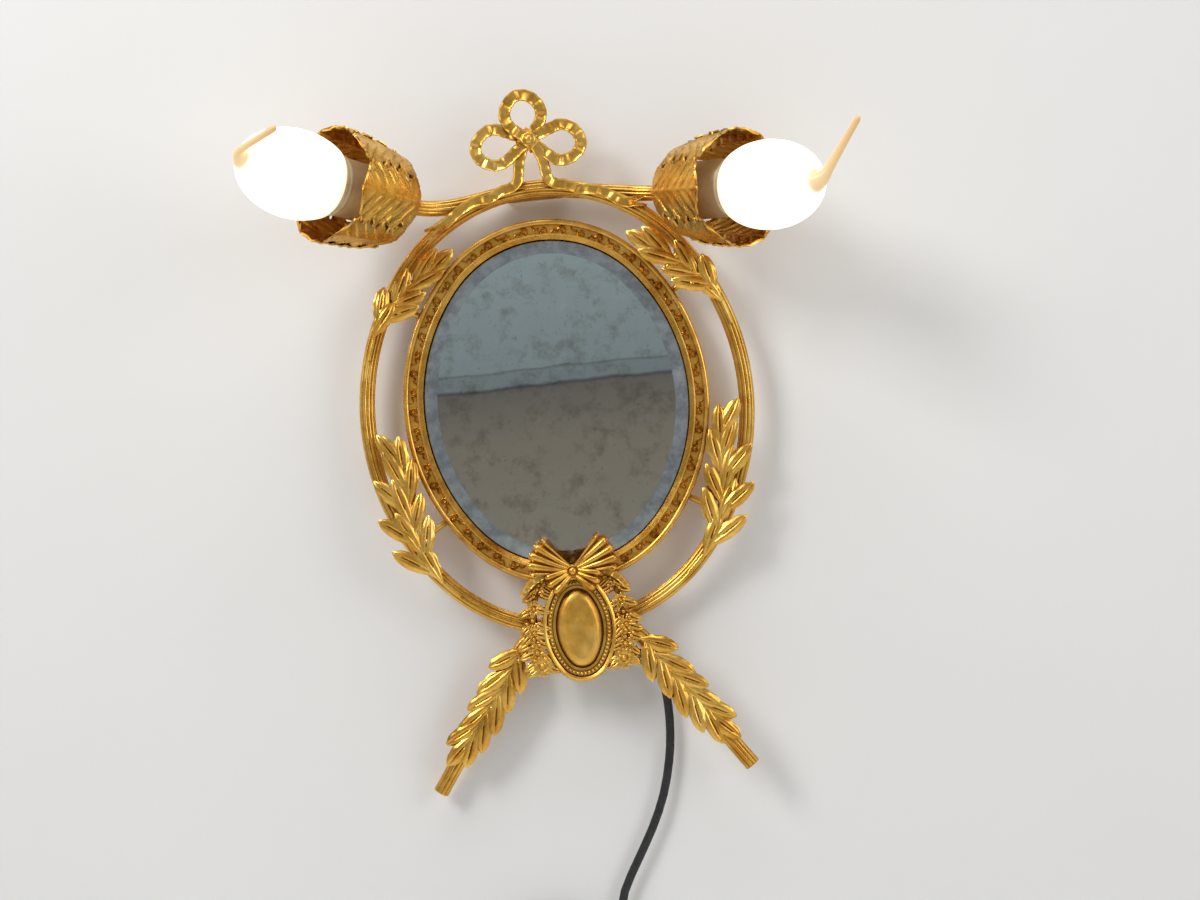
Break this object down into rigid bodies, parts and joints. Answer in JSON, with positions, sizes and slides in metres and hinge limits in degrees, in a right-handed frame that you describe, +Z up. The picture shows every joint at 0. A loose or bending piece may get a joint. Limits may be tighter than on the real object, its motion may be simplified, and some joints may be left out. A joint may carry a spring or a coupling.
{
  "type": "girandole mirror",
  "caption": "Oval wall mirror in a gilt bronze laurel ring with crossed stems, ribbon bow, medallion and two electric lights in leaf cups on side arms, with cord and plug.",
  "frame": {"origin": "centre of the hanging hole, on the wall", "axes": "+X to the right seen from the front, +Y into the wall, +Z up; the wall is the plane Y = 0"},
  "size_m": [0.3547, 0.1532, 0.6213],
  "materials": {
    "ormolu": "gilt bronze, burnished on the high parts and matt in the hollows",
    "fittings_brass": "plain turned brass",
    "box_brass": "dull sheet brass",
    "cord_cover": "flat twin sheath, satin",
    "tie": "soft strap",
    "plug": "moulded",
    "pins": "nickel plated",
    "mirror": "old silvering with fine spots",
    "felt": "thin felt",
    "board": "thin oiled panel",
    "terminal": "ceramic look",
    "holder": "cream, aged",
    "bulb_cap": "rolled cap",
    "opal_glass": "etched bulb glass"
  },
  "bodies": {
    "fixed_parts": {"left_branch": "ormolu", "right_branch": "ormolu", "crossing_bolt": "fittings_brass", "mirror_frame": "ormolu", "mirror_glass": "mirror", "backing_felt": "felt", "backboard": "board", "button_screws": "fittings_brass", "hanging_plate": "fittings_brass", "hanging_screws": "fittings_brass", "upper_left_laurel": "ormolu", "upper_right_laurel": "ormolu", "lower_left_laurel": "ormolu", "lower_right_laurel": "ormolu", "left_leg_laurel": "ormolu", "right_leg_laurel": "ormolu", "top_bow": "ormolu", "medallion_plate": "ormolu", "medallion_beads": "ormolu", "medallion_dome": "ormolu", "medallion_bow": "ormolu", "left_garland": "ormolu", "right_garland": "ormolu", "junction_box": "box_brass", "junction_cover": "box_brass", "junction_screws": "fittings_brass", "terminal_block": "terminal", "left_wire": "cord_cover", "right_wire": "cord_cover", "left_leaf_cup": "ormolu", "right_leaf_cup": "ormolu", "left_locknut": "fittings_brass", "right_locknut": "fittings_brass", "left_holder_base": "holder", "right_holder_base": "holder", "left_holder_insert": "holder", "right_holder_insert": "holder", "left_thread_shell": "fittings_brass", "right_thread_shell": "fittings_brass", "left_holder_skirt": "holder", "right_holder_skirt": "holder", "left_shade_ring": "holder", "right_shade_ring": "holder", "cord_gland": "cord_cover", "cord": "cord_cover", "cord_coil": "cord_cover", "coil_tie": "tie", "plug_body": "plug", "plug_pins": "pins"},
    "left_bulb": {"left_bulb_cap": "bulb_cap", "left_bulb_glass": "opal_glass"},
    "right_bulb": {"right_bulb_cap": "bulb_cap", "right_bulb_glass": "opal_glass"},
    "upper_left_button_body": {"upper_left_button": "fittings_brass"},
    "upper_right_button_body": {"upper_right_button": "fittings_brass"},
    "lower_left_button_body": {"lower_left_button": "fittings_brass"},
    "lower_right_button_body": {"lower_right_button": "fittings_brass"}
  },
  "joints": [
    {"name": "left_bulb_turn", "type": "hinge", "parent": "fixed_parts", "child": "left_bulb", "pos_m": [-0.109, -0.06859, 0.00573], "axis": [-0.6874, -0.6965, 0.2057], "range_deg": [0, 1080]},
    {"name": "right_bulb_turn", "type": "hinge", "parent": "fixed_parts", "child": "right_bulb", "pos_m": [0.11285, -0.0646, -0.01743], "axis": [0.6286, -0.7696, -0.1119], "range_deg": [0, 1080]},
    {"name": "upper_right_button_turn", "type": "hinge", "parent": "fixed_parts", "child": "upper_right_button_body", "pos_m": [0.05971, -0.0042, -0.0503], "axis": [0, 1, 0], "range_deg": [0, 90]},
    {"name": "upper_left_button_turn", "type": "hinge", "parent": "fixed_parts", "child": "upper_left_button_body", "pos_m": [-0.05971, -0.0042, -0.0503], "axis": [0, 1, 0], "range_deg": [0, 90]},
    {"name": "lower_left_button_turn", "type": "hinge", "parent": "fixed_parts", "child": "lower_left_button_body", "pos_m": [-0.05971, -0.0042, -0.2067], "axis": [0, 1, 0], "range_deg": [0, 90]},
    {"name": "lower_right_button_turn", "type": "hinge", "parent": "fixed_parts", "child": "lower_right_button_body", "pos_m": [0.05971, -0.0042, -0.2067], "axis": [0, 1, 0], "range_deg": [0, 90]}
  ]
}
